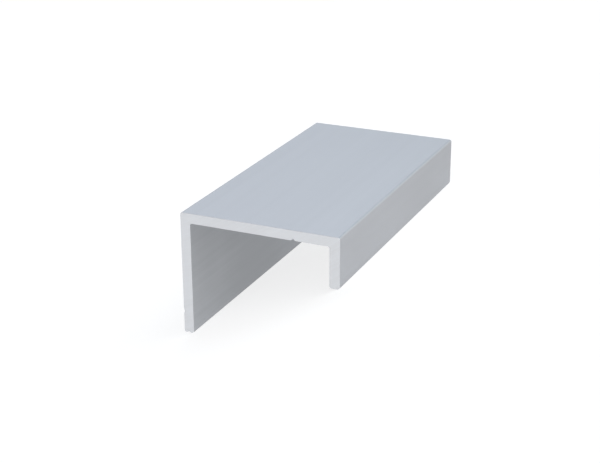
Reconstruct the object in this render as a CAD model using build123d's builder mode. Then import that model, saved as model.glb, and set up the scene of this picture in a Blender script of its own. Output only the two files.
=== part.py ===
"""Unequal-leg aluminium channel, used as an edge pull on doors and drawers, cut to a short length.

One extrusion: a flat web, a long leg along one side of it and a short lip along the other,
all of one wall gauge. The piece lies as it comes to rest on a level floor, legs down, on
the long leg's inner foot edge and the lip's outer foot edge. Its length runs along Y, the
end that shows is at -Y, and the origin is at the middle of its footprint, on the floor.
"""

import math
import os

from build123d import *

# Section, in millimetres
web_width = 32.0  # over the outer faces of both legs
long_leg = 24.5  # height of the long leg, from the web's top face
short_leg = 10.0  # height of the lip, from the web's top face
wall = 2.0  # one gauge for the web and both legs
length = 62.0  # between the two saw cuts

# Edges
outer_radius = 0.5  # where the web turns into a leg, outside
inner_radius = 0.4  # where the web turns into a leg, inside
foot_radius = 0.5  # both edges of each leg's foot
end_break = 0.05  # deburred edge around each saw cut

# The legs differ, so the web slopes when both feet are on the floor. The feet have equal
# radii, so the slope is that of the line between the two edges that touch.
slope = math.atan2(long_leg - short_leg, web_width - wall)
c, s = math.cos(slope), math.sin(slope)

# Extremes of the sloping section, measured from the web's top left corner
left = foot_radius * c + (foot_radius - long_leg) * s - foot_radius
right = (web_width - outer_radius) * c - outer_radius * s + outer_radius
bottom = (foot_radius - wall) * s + (foot_radius - long_leg) * c - foot_radius

# The section's own x runs along the web from the long leg to the lip, and its y points
# out of the web's top face.
section_plane = Plane(
    origin=(-(left + right) / 2, 0, -bottom),
    x_dir=(c, 0, -s),
    z_dir=(0, -1, 0),
)

with BuildPart() as handle_profile:
    with BuildSketch(section_plane) as section:
        with BuildLine() as outline:
            Polyline(
                (0, 0),
                (web_width, 0),
                (web_width, -short_leg),
                (web_width - wall, -short_leg),
                (web_width - wall, -wall),
                (wall, -wall),
                (wall, -long_leg),
                (0, -long_leg),
                close=True,
            )
        make_face()
        for level, radius in (
            (0, outer_radius),
            (-wall, inner_radius),
            (-short_leg, foot_radius),
            (-long_leg, foot_radius),
        ):
            corners = section.vertices().filter_by_position(
                Axis.Y, level - 0.01, level + 0.01
            )
            fillet(corners, radius)
    extrude(amount=length / 2, both=True)
    saw_cuts = handle_profile.faces().filter_by(Axis.Y)
    chamfer(saw_cuts.edges(), end_break)

handle_profile.part.label = "handle_profile"

os.makedirs("parts", exist_ok=True)
export_step(handle_profile.part, "parts/handle_profile.step")

box = handle_profile.part.bounding_box()
print("slope_deg", round(math.degrees(slope), 4))
print("volume_mm3", round(handle_profile.part.volume, 2))
print("low", tuple(round(v, 4) for v in box.min), "high", tuple(round(v, 4) for v in box.max))
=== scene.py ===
import math

import bpy
import numpy as np
from mathutils import Matrix, Vector


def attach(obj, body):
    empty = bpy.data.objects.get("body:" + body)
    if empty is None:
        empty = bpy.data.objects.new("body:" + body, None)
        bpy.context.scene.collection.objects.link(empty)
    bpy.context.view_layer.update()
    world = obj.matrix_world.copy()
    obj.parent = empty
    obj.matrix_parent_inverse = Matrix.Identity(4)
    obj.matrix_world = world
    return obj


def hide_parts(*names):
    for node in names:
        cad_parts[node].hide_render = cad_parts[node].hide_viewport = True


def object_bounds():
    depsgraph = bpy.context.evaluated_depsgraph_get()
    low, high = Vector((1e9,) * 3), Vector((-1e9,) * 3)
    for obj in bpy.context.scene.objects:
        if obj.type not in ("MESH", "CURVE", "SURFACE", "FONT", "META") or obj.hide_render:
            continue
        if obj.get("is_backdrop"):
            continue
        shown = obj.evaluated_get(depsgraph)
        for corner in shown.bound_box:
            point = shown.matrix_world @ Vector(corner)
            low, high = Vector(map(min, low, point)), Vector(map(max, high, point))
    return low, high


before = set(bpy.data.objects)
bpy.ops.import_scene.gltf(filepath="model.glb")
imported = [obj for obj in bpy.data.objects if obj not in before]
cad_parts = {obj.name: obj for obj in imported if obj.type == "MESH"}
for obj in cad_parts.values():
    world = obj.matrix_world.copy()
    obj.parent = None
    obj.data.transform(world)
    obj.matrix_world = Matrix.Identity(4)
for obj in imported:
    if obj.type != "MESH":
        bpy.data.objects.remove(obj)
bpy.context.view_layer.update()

MM = 0.001
scene = bpy.context.scene

# ---------------------------------------------------------------------------
# The section, in millimetres: x along the web from the long leg to the lip, y out of the
# web's top face. The piece lies on the long leg's inner foot edge and the lip's outer one.
WEB, LONG, LIP, WALL, LENGTH = 32.0, 24.5, 10.0, 2.0, 62.0
R_OUT, R_IN, R_FOOT, BREAK = 0.5, 0.4, 0.5, 0.05
NICK = 22.9  # where the front cut's lower edge is nicked, along the web

slope = math.atan2(LONG - LIP, WEB - WALL)
C, S = math.cos(slope), math.sin(slope)
left = R_FOOT * C + (R_FOOT - LONG) * S - R_FOOT
right = (WEB - R_OUT) * C - R_OUT * S + R_OUT
bottom = (R_FOOT - WALL) * S + (R_FOOT - LONG) * C - R_FOOT
X0, Z0 = -(left + right) / 2, -bottom


def to_row(x, y, along):
    """Section coordinates and the distance along the length, in mm, to the shared frame in metres."""
    x, y, along = np.broadcast_arrays(x, y, along)
    return np.stack([x * C + y * S + X0, along, -x * S + y * C + Z0], -1) * MM


# ---------------------------------------------------------------------------
# The section as a strip: rows run along the wall from foot to foot, columns across it from
# the outer skin to the inner skin, so that the cut ends and the skins are all quads.
def spaced(a, b, step, tight=(0.03, 0.1)):
    """Points from a to b, about step apart, closer together at both ends."""
    sign = 1 if b > a else -1
    n = max(2, round(abs(b - a) / step))
    mid = np.linspace(a, b, n + 1)[1:-1]
    near = [a + sign * t for t in tight]
    far = [b - sign * t for t in tight]
    keep = [m for m in mid if min(abs(m - a), abs(m - b)) > tight[-1] * 1.3]
    return np.array(sorted([a, b, *near, *keep, *far], reverse=sign < 0))


def arc(cx, cy, r, a0, a1, n):
    t = np.radians(np.linspace(a0, a1, n + 1))
    return np.stack([cx + r * np.cos(t), cy + r * np.sin(t)], -1)


ARC = 16
STEP = 0.2
foot_rise = R_FOOT * (1 - math.sqrt(0.5))
foot_levels = R_FOOT * np.array([foot_rise / R_FOOT, 0.38, 0.48, 0.6, 0.78, 1.0])


def foot_inset(level):
    """How far a foot's rounded edge stands in from the skin, at a height above the foot."""
    return R_FOOT - np.sqrt(np.maximum(R_FOOT**2 - (R_FOOT - level) ** 2, 0))


def strip():
    outer, inner = [], []

    def add(o, i):
        start = 1 if outer else 0
        outer.extend(np.asarray(o)[start:])
        inner.extend(np.asarray(i)[start:])

    bend = WALL + R_IN
    # long leg, foot to bend
    y = -LONG + foot_levels
    add(
        np.stack([foot_inset(foot_levels), y], -1),
        np.stack([WALL - foot_inset(foot_levels), y], -1),
    )
    y = spaced(-LONG + R_FOOT, -bend, STEP)
    add(np.stack([0 * y, y], -1), np.stack([0 * y + WALL, y], -1))
    # bend between long leg and web
    rise = -bend + (bend - R_OUT) * np.array([0, 0.45, 0.8, 0.975, 1.0])
    o = [(0, v) for v in rise]
    o += list(arc(R_OUT, -R_OUT, R_OUT, 180, 90, ARC // 2)[1:])
    o += [(-v, 0) for v in rise[::-1]][1:]
    add(o, arc(bend, -bend, R_IN, 180, 90, ARC))
    # web
    x = spaced(bend, WEB - bend, STEP)
    x = np.sort(np.r_[x[abs(x - NICK) > 0.75], NICK + np.linspace(-0.7, 0.7, 19)])
    add(np.stack([x, 0 * x], -1), np.stack([x, 0 * x - WALL], -1))
    # bend between web and lip
    o = [(WEB + v, 0) for v in rise]
    o += list(arc(WEB - R_OUT, -R_OUT, R_OUT, 90, 0, ARC // 2)[1:])
    o += [(WEB, v) for v in rise[::-1]][1:]
    add(o, arc(WEB - bend, -bend, R_IN, 90, 0, ARC))
    # lip, bend to foot
    y = spaced(-bend, -LIP + R_FOOT, STEP)
    add(np.stack([0 * y + WEB, y], -1), np.stack([0 * y + WEB - WALL, y], -1))
    y = -LIP + foot_levels[::-1]
    add(
        np.stack([WEB - foot_inset(foot_levels[::-1]), y], -1),
        np.stack([WEB - WALL + foot_inset(foot_levels[::-1]), y], -1),
    )
    return np.array(outer), np.array(inner)


outer, inner = strip()
ROWS = len(outer)
depth = np.array([0, 0.02, 0.05, 0.1, 0.2, 0.38, 0.57, 0.76, 0.9])
across = np.r_[depth, 1.0, 2 - depth[::-1]] / 2
COLS = len(across)

grid = (1 - across)[None, :, None] * outer[:, None] + across[None, :, None] * inner[:, None]
# the feet are rounded across the wall as well
walk = np.r_[0, np.cumsum(np.linalg.norm(np.diff((outer + inner) / 2, axis=0), axis=1))]
for row, reach in ((0, walk), (ROWS - 1, walk[-1] - walk)):
    a, b = outer[row], inner[row]
    run = foot_rise + across * (WALL - 2 * foot_rise)
    side = np.minimum(run, WALL - run)
    drop = np.where(
        side < R_FOOT,
        R_FOOT - np.sqrt(np.maximum(R_FOOT**2 - (R_FOOT - side) ** 2, 0)),
        0,
    )
    low = -LONG if row == 0 else -LIP
    lift = (low + drop) - a[1]
    fade = np.clip(1 - reach / 0.9, 0, 1)
    grid[:, :, 1] += fade[:, None] * lift[None]

# distance of each point of the cut face from its outline
gap_across = np.minimum(across, 1 - across)[None] * np.linalg.norm(
    outer - inner, axis=1
)[:, None]
gap_foot = np.minimum(walk, walk[-1] - walk)[:, None]
inset = np.minimum(gap_across, gap_foot + 0 * gap_across)
inset[:, 0] = inset[:, -1] = inset[0] = inset[-1] = 0

loop = np.array(
    [(i, 0) for i in range(ROWS)]
    + [(ROWS - 1, j) for j in range(1, COLS)]
    + [(i, COLS - 1) for i in range(ROWS - 2, -1, -1)]
    + [(0, j) for j in range(COLS - 2, 0, -1)]
)
skin = grid[loop[:, 0], loop[:, 1]]
ahead, behind = np.roll(skin, -1, 0), np.roll(skin, 1, 0)
tangent = ahead - behind
tangent /= np.linalg.norm(tangent, axis=1)[:, None]
into = np.stack([tangent[:, 1], -tangent[:, 0]], -1)  # the outline runs clockwise

# ---------------------------------------------------------------------------
# Relief: faint die lines along the whole length, cuts whose edges are not quite even, shallow
# saw waves on the cut faces, and three small marks on the front cut's edges.
rng = np.random.default_rng(2065)


def smooth_noise(at, pitch, seed):
    """Smooth seeded noise from 0 to 1 at positions along a line."""
    r = np.random.default_rng(seed)
    at = np.asarray(at) / pitch
    table = r.random(int(at.max()) + 4)
    k = np.floor(at).astype(int)
    t = at - k
    t = t * t * (3 - 2 * t)
    return table[k] * (1 - t) + table[k + 1] * t


girth = np.r_[0, np.cumsum(np.linalg.norm(np.diff(skin, axis=0), axis=1))]
around = girth[-1] + np.linalg.norm(skin[0] - skin[-1])
die = 0.0022 * smooth_noise(girth, 0.42, 1) + 0.0035 * smooth_noise(girth, 1.7, 2)
for at in rng.uniform(0, girth[-1], 26):
    width = rng.uniform(0.16, 0.3)
    die += rng.uniform(0.0015, 0.004) * np.exp(-(((girth - at) / width) ** 2))

# place on the section, depth into the wall, half width along the edge
marks_front = [
    ((NICK, -WALL), (0.0, 1.0), 0.26, 0.28),
    ((0.0, -20.1), (1.0, 0.0), 0.15, 0.32),
    ((0.9, -LONG), (0.0, 1.0), 0.2, 0.3),
]


def knocked(p, along):
    """Points near the marks on the front cut, moved into the wall and back from the cut."""
    p, along = np.array(p, float), np.array(np.broadcast_to(along, len(p)), float)
    from_cut = np.maximum(along + LENGTH / 2, 0)
    for (cx, cy), push, deep, width in marks_front:
        away = np.hypot(p[:, 0] - cx, p[:, 1] - cy)
        amount = deep * np.exp(-((away / width) ** 2) - (from_cut / 0.4) ** 2)
        amount = np.where(amount > 0.0005, amount, 0)
        p += np.array(push) * amount[:, None]
        along += 0.5 * amount
    return p, along


SAW = np.array([-60.0, 130.0])  # the blade's centre, on the section
near = np.array([0.0, 0.05, 0.12, 0.22, 0.36, 0.56, 0.85, 1.3, 1.9, 2.7])
half = LENGTH / 2
stations = np.r_[
    -half + near,
    np.linspace(-half + 4.0, half - 4.0, 42),
    (half - near)[::-1],
]
# the broken edge is a little wider in some places than in others
cell_break = {}
for end in (-1, 1):
    a = BREAK * (0.72 + 0.75 * smooth_noise(walk, 2.6, 40 + end))
    b = BREAK * (0.72 + 0.75 * smooth_noise(walk, 2.6, 50 + end))
    cell_break[end] = (1 - across)[None] * a[:, None] + across[None] * b[:, None]

rings = []
for along in stations:
    end = -1 if along < 0 else 1
    ease = np.clip(1 - (half - abs(along)) / 1.2, 0, 1)
    at = along - end * ease * cell_break[end][loop[:, 0], loop[:, 1]]
    fade = 0.85 + 0.15 * math.sin(along * 0.21 + 1.3)
    p, at = knocked(skin + into * (die * fade)[:, None], at)
    rings.append(to_row(p[:, 0], p[:, 1], at))
count = len(skin)
verts = [np.concatenate(rings)]
faces, marks = [], []
for n in range(len(stations) - 1):
    a = n * count + np.arange(count)
    b = n * count + np.roll(np.arange(count), -1)
    faces.append(np.stack([a, b, b + count, a + count], -1))
    marks.append(np.zeros(count, int))

a, b = R_OUT * (1 - math.sqrt(0.5)), foot_rise
rounds = np.array(
    [
        (a, -a),
        (WEB - a, -a),
        (b, -LONG + b),
        (WALL - b, -LONG + b),
        (WEB - b, -LIP + b),
        (WEB - WALL + b, -LIP + b),
    ]
)
off_corner = np.linalg.norm(skin[:, None] - rounds[None], axis=2)
# the feet slide on a bench, so they are rubbed more than the two bends
reach_of = np.array([0.4, 0.4, 0.25, 0.25, 0.25, 0.25])
much = np.array([0.3, 0.3, 1.0, 1.0, 1.0, 1.0])
on_corner = (much * np.exp(-((off_corner / reach_of) ** 2))).max(1)
off_end = half - abs(stations)
rub = np.maximum(on_corner[None], np.exp(-((off_end / 0.1) ** 2))[:, None])
wear = [rub.ravel()]
# the inside of the channel, darkened with painted shade that deepens the farther it is from an end
deep = 0.96 + 1.3 * (1 - np.exp(-off_end / 14.0))
inside_shade_paint = [(deep[:, None] * across[loop[:, 1]][None]).ravel()]

# the skin unrolled in one strip with the two cuts beside it, on a square of this many millimetres
SHEET = around + 4.0
u = (2.0 + half + stations) / SHEET
v = (2.0 + np.r_[girth, around]) / SHEET
flat = []
for n in range(len(stations) - 1):
    lo, hi = v[:-1], v[1:]
    s, e = np.full(count, u[n]), np.full(count, u[n + 1])
    flat.append(np.stack([np.stack([s, lo], -1), np.stack([s, hi], -1), np.stack([e, hi], -1), np.stack([e, lo], -1)], 1))

index_of = -np.ones((ROWS, COLS), int)
index_of[loop[:, 0], loop[:, 1]] = np.arange(count)
inside = np.argwhere(index_of < 0)
start = len(stations) * count
for end, ring in ((-1, 0), (1, len(stations) - 1)):
    d = inset[inside[:, 0], inside[:, 1]]
    p = grid[inside[:, 0], inside[:, 1]]
    edge = cell_break[end][inside[:, 0], inside[:, 1]]
    back = np.where(d < edge, edge - np.sqrt(np.maximum(edge**2 - (edge - d) ** 2, 0)), 0)
    # shallow waves left by the saw, in arcs about the blade's centre
    radius = np.linalg.norm(p - SAW, axis=1)
    saw = 0.004 * (1 + np.sin(radius * 2.1 + 0.4 * end)) / 2
    saw = saw + 0.003 * smooth_noise(radius - radius.min(), 0.55, 7 + end)
    saw *= np.clip((d - edge) / 0.25, 0, 1)
    p, along = knocked(p, end * (half - back - saw))
    verts.append(to_row(p[:, 0], p[:, 1], along))
    wear.append(np.exp(-((d / 0.09) ** 2)))
    inside_shade_paint.append(0 * d)
    ids = index_of.copy()
    ids[ids >= 0] += ring * count
    ids[inside[:, 0], inside[:, 1]] = start + np.arange(len(inside))
    start += len(inside)
    cut_u = (LENGTH + 5.0 + 1.9 * grid[:, :, 0]) / SHEET
    cut_v = (2.0 + 1.9 * (grid[:, :, 1] + LONG) + (0 if end < 0 else 1.9 * LONG + 3.0)) / SHEET
    at = np.stack([cut_u, cut_v], -1)
    a, b, c, d4 = ids[:-1, :-1], ids[1:, :-1], ids[1:, 1:], ids[:-1, 1:]
    quads = np.stack([a, b, c, d4], -1)
    sheet = np.stack([at[:-1, :-1], at[1:, :-1], at[1:, 1:], at[:-1, 1:]], 2)
    if end < 0:
        quads, sheet = quads[..., ::-1].copy(), sheet[..., ::-1, :].copy()
    # at the strip's corners a quad divides along the line into the corner
    for k in ((0, 0), (-1, -1)) if end < 0 else ((-1, 0), (0, -1)):
        quads[k], sheet[k] = np.roll(quads[k], 1), np.roll(sheet[k], 1, axis=0)
    faces.append(quads.reshape(-1, 4))
    flat.append(sheet.reshape(-1, 4, 2))
    marks.append(np.ones(len(faces[-1]), int))

verts, faces, marks = np.concatenate(verts), np.concatenate(faces), np.concatenate(marks)
mesh = bpy.data.meshes.new("profile")
mesh.from_pydata(verts.tolist(), [], faces.tolist())
mesh.polygons.foreach_set("material_index", marks.astype(np.int32))
mesh.polygons.foreach_set("use_smooth", np.ones(len(faces), bool))
mesh.uv_layers.new(name="OFBake").data.foreach_set(
    "uv", np.concatenate(flat).astype(np.float32).ravel()
)
# the second attribute carries the painted shade inside the channel
for name, values in (("wear", wear), ("inside_shade_paint", inside_shade_paint)):
    mesh.attributes.new(name, "FLOAT", "POINT").data.foreach_set(
        "value", np.concatenate(values).astype(np.float32)
    )
mesh.validate()
mesh.update()
profile = bpy.data.objects.new("profile", mesh)
scene.collection.objects.link(profile)


# ---------------------------------------------------------------------------
# Materials
def material(name):
    m = bpy.data.materials.new(name)
    m.use_nodes = True
    m.node_tree.nodes.clear()
    out = m.node_tree.nodes.new("ShaderNodeOutputMaterial")
    shader = m.node_tree.nodes.new("ShaderNodeBsdfPrincipled")
    m.node_tree.links.new(shader.outputs[0], out.inputs["Surface"])
    return m, m.node_tree, shader


def noise(nt, at, detail=2.0, rough=0.5):
    n = nt.nodes.new("ShaderNodeTexNoise")
    n.inputs["Scale"].default_value = 1.0
    n.inputs["Detail"].default_value = detail
    n.inputs["Roughness"].default_value = rough
    nt.links.new(at, n.inputs["Vector"])
    return n.outputs["Fac"]


def stretched(nt, at, per_metre):
    n = nt.nodes.new("ShaderNodeVectorMath")
    n.operation = "MULTIPLY"
    nt.links.new(at, n.inputs[0])
    n.inputs[1].default_value = per_metre
    return n.outputs[0]


def maths(nt, kind, a, b):
    n = nt.nodes.new("ShaderNodeMath")
    n.operation = kind
    for socket, value in zip(n.inputs, (a, b)):
        if isinstance(value, (int, float)):
            socket.default_value = value
        else:
            nt.links.new(value, socket)
    return n.outputs[0]


def blend(nt, parts):
    """Weighted sum of noises."""
    total = None
    for value, share in parts:
        part = maths(nt, "MULTIPLY", value, share)
        total = part if total is None else maths(nt, "ADD", total, part)
    return total


def between(nt, value, low, high, to_low, to_high):
    n = nt.nodes.new("ShaderNodeMapRange")
    nt.links.new(value, n.inputs["Value"])
    for name, v in zip(("From Min", "From Max", "To Min", "To Max"), (low, high, to_low, to_high)):
        n.inputs[name].default_value = v
    return n.outputs["Result"]


def tones(nt, value, stops):
    n = nt.nodes.new("ShaderNodeValToRGB")
    e = n.color_ramp.elements
    while len(e) < len(stops):
        e.new(0.5)
    for element, (at, colour) in zip(e, stops):
        element.position, element.color = at, (*colour, 1)
    nt.links.new(value, n.inputs["Fac"])
    return n.outputs["Color"]


def over(nt, mask, under, colour):
    """A colour laid over another by a mask."""
    n = nt.nodes.new("ShaderNodeMix")
    n.data_type = "RGBA"
    nt.links.new(mask, n.inputs[0])
    nt.links.new(under, n.inputs[6])
    n.inputs[7].default_value = (*colour, 1)
    return n.outputs[2]


def bump(nt, height, metres, before=None):
    n = nt.nodes.new("ShaderNodeBump")
    n.inputs["Distance"].default_value = metres
    nt.links.new(height, n.inputs["Height"])
    if before:
        nt.links.new(before, n.inputs["Normal"])
    return n.outputs["Normal"]


def measured(nt, name):
    n = nt.nodes.new("ShaderNodeAttribute")
    n.attribute_name = name
    return n.outputs["Fac"]


def rubbed(nt, at):
    """The edges, in broken stretches, where handling has polished the surface."""
    patches = noise(nt, stretched(nt, at, (1500, 1500, 1500)), 5.0, 0.65)
    return maths(nt, "MULTIPLY", measured(nt, "wear"), between(nt, patches, 0.4, 0.7, 0.03, 0.35))


ANODISED = (0.5095, 0.5205, 0.543)
CUT = (0.656, 0.668, 0.69)


def shade(colour, factor):
    return tuple(c * factor for c in colour)


def anodised():
    m, nt, shader = material("anodised_satin")
    shader.inputs["Metallic"].default_value = 1.0
    # seen at a slant, the oxide film takes back some of the brightening of bare metal
    shader.inputs["Specular Tint"].default_value = (0.6, 0.6, 0.6, 1)
    at = nt.nodes.new("ShaderNodeTexCoord").outputs["Object"]
    lines = noise(nt, stretched(nt, at, (3600, 16, 3600)), 2.0)
    bands = noise(nt, stretched(nt, at, (520, 5, 520)), 2.0)
    grain = noise(nt, stretched(nt, at, (7000, 7000, 7000)), 2.0)
    cloud = noise(nt, stretched(nt, at, (80, 80, 80)), 3.0)
    rub = rubbed(nt, at)
    tint = blend(nt, ((lines, 0.3), (bands, 0.2), (cloud, 0.3), (grain, 0.2)))
    # painted shade: the inside of the channel is pulled down the colour ramp, darker the farther it
    # is from an end
    painted_darkening = maths(nt, "MULTIPLY", measured(nt, "inside_shade_paint"), 0.235)
    colour = tones(
        nt,
        maths(nt, "SUBTRACT", tint, painted_darkening),
        (
            # the two lowest stops are reached mostly under that painted shade and give its darker,
            # bluer tones
            (0.0, shade((0.5045, 0.5205, 0.5455), 0.775)),
            (0.32, shade((0.5065, 0.5205, 0.5435), 0.95)),
            (0.5, ANODISED),
            (0.68, shade((0.5075, 0.5205, 0.5455), 1.05)),
        ),
    )
    nt.links.new(over(nt, rub, colour, (0.66, 0.67, 0.685)), shader.inputs["Base Color"])
    satin = between(
        nt, blend(nt, ((lines, 0.45), (cloud, 0.35), (grain, 0.2))), 0.34, 0.66, 0.39, 0.51
    )
    nt.links.new(
        maths(nt, "SUBTRACT", satin, maths(nt, "MULTIPLY", rub, 0.09)), shader.inputs["Roughness"]
    )
    etched = bump(nt, grain, 0.000004)
    drawn = bump(nt, lines, 0.000006, etched)
    nt.links.new(drawn, shader.inputs["Normal"])
    return m


def saw_cut():
    m, nt, shader = material("saw_cut")
    shader.inputs["Metallic"].default_value = 1.0
    at = nt.nodes.new("ShaderNodeTexCoord").outputs["Object"]
    centre = to_row(SAW[0], SAW[1], 0.0)
    from_hub = nt.nodes.new("ShaderNodeVectorMath")
    from_hub.operation = "SUBTRACT"
    nt.links.new(at, from_hub.inputs[0])
    from_hub.inputs[1].default_value = tuple(centre)
    level = stretched(nt, from_hub.outputs[0], (1, 0, 1))
    reach = nt.nodes.new("ShaderNodeVectorMath")
    reach.operation = "LENGTH"
    nt.links.new(level, reach.inputs[0])
    split = nt.nodes.new("ShaderNodeSeparateXYZ")
    nt.links.new(at, split.inputs[0])
    arcs_at = nt.nodes.new("ShaderNodeCombineXYZ")
    nt.links.new(reach.outputs["Value"], arcs_at.inputs["X"])
    nt.links.new(split.outputs["Y"], arcs_at.inputs["Y"])
    arcs = noise(nt, stretched(nt, arcs_at.outputs[0], (3000, 200, 1)), 3.0, 0.6)
    broad = noise(nt, stretched(nt, arcs_at.outputs[0], (520, 200, 1)), 1.0)
    grit = noise(nt, stretched(nt, at, (6000, 6000, 6000)), 2.0)
    cloud = noise(nt, stretched(nt, at, (140, 140, 140)), 2.0)
    rub = rubbed(nt, at)
    tint = blend(nt, ((arcs, 0.4), (broad, 0.2), (cloud, 0.25), (grit, 0.15)))
    colour = tones(
        nt,
        tint,
        (
            (0.36, shade((0.659, 0.668, 0.687), 0.935)),
            (0.5, CUT),
            (0.64, shade((0.653, 0.669, 0.694), 1.05)),
        ),
    )
    nt.links.new(over(nt, rub, colour, (0.74, 0.75, 0.765)), shader.inputs["Base Color"])
    nt.links.new(
        between(nt, blend(nt, ((arcs, 0.5), (grit, 0.3), (cloud, 0.2))), 0.34, 0.66, 0.43, 0.58),
        shader.inputs["Roughness"],
    )
    torn = bump(nt, grit, 0.000004)
    sawn = bump(nt, arcs, 0.000009, torn)
    nt.links.new(sawn, shader.inputs["Normal"])
    return m


mesh.materials.append(anodised())
mesh.materials.append(saw_cut())

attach(profile, "root")
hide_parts("handle_profile")

# ---------------------------------------------------------------------------
# Floor, light and camera
bpy.ops.mesh.primitive_circle_add(vertices=128, radius=3.0, fill_type="TRIFAN", location=(0, 0, 0))
floor = bpy.context.object
floor.name = "floor"
m, nt, shader = material("pale_floor")
shader.inputs["Base Color"].default_value = (0.36, 0.36, 0.36, 1)
shader.inputs["Roughness"].default_value = 1.0
shader.inputs["Specular IOR Level"].default_value = 0.0
shader.inputs["Emission Color"].default_value = (1, 1, 1, 1)
shader.inputs["Emission Strength"].default_value = 0.745
floor.data.materials.append(m)
floor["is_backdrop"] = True

world = bpy.data.worlds.new("studio")
scene.world = world
world.use_nodes = True
nt = world.node_tree
nt.nodes.clear()
w_out = nt.nodes.new("ShaderNodeOutputWorld")
w_bg = nt.nodes.new("ShaderNodeBackground")
w_at = nt.nodes.new("ShaderNodeTexCoord")
w_split = nt.nodes.new("ShaderNodeSeparateXYZ")
w_ramp = nt.nodes.new("ShaderNodeValToRGB")
nt.links.new(w_at.outputs["Generated"], w_split.inputs[0])
nt.links.new(w_split.outputs["Z"], w_ramp.inputs["Fac"])
nt.links.new(w_ramp.outputs["Color"], w_bg.inputs["Color"])
ramp = w_ramp.color_ramp
ramp.elements[0].position, ramp.elements[0].color = 0.1, (1.03, 1.03, 1.03, 1)
ramp.elements[1].position, ramp.elements[1].color = 0.5, (0.25, 0.256, 0.268, 1)
w_bg.inputs["Strength"].default_value = 1.0
nt.links.new(w_bg.outputs[0], w_out.inputs["Surface"])


def softbox(name, stands, spread, strength, colour=(1, 1, 1)):
    """A broad soft light, far off in the direction given and this many degrees across."""
    data = bpy.data.lights.new(name, "SUN")
    data.angle = math.radians(spread)
    data.energy = strength
    data.color = colour
    light = bpy.data.objects.new(name, data)
    scene.collection.objects.link(light)
    light.rotation_mode = "QUATERNION"
    light.rotation_quaternion = Vector(stands).to_track_quat("Z", "Y")
    return light


softbox("back", (-0.16, 0.67, 0.73), 50, 0.72, (0.868, 0.92, 0.998))
softbox("back_low", (0.15, 0.95, 0.3), 50, 0.1, (0.7, 0.9, 1.0))
softbox("back_right", (0.5, 0.75, 0.45), 50, 0.23, (0.68, 0.87, 1.0))
softbox("right", (0.9, 0.1, 0.45), 50, 0.74)
softbox("right_front", (0.75, -0.5, 0.45), 50, 0.9, (0.93, 0.96, 1.0))
softbox("front", (0.1, -0.95, 0.28), 40, 0.6)

camera_data = bpy.data.cameras.new("camera")
camera_data.sensor_width = 36.0
camera_data.lens = 78.5544
camera_data.clip_start, camera_data.clip_end = 0.01, 20.0
camera = bpy.data.objects.new("camera", camera_data)
scene.collection.objects.link(camera)
side = Vector((0.817882053, 0.413518155, -0.400089593))
up = Vector((0.270566974, 0.337264875, 0.901690588))
toward = Vector((0.507801596, -0.845727580, 0.163958533))
camera.matrix_world = Matrix.Translation((0.130716674, -0.227328481, 0.050252442)) @ Matrix(
    (side, up, toward)
).transposed().to_4x4()
scene.camera = camera

scene.view_settings.view_transform = "Standard"
scene.view_settings.look = "None"
scene.view_settings.exposure = 0.0
scene.view_settings.gamma = 1.0

bpy.context.view_layer.update()
low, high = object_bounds()
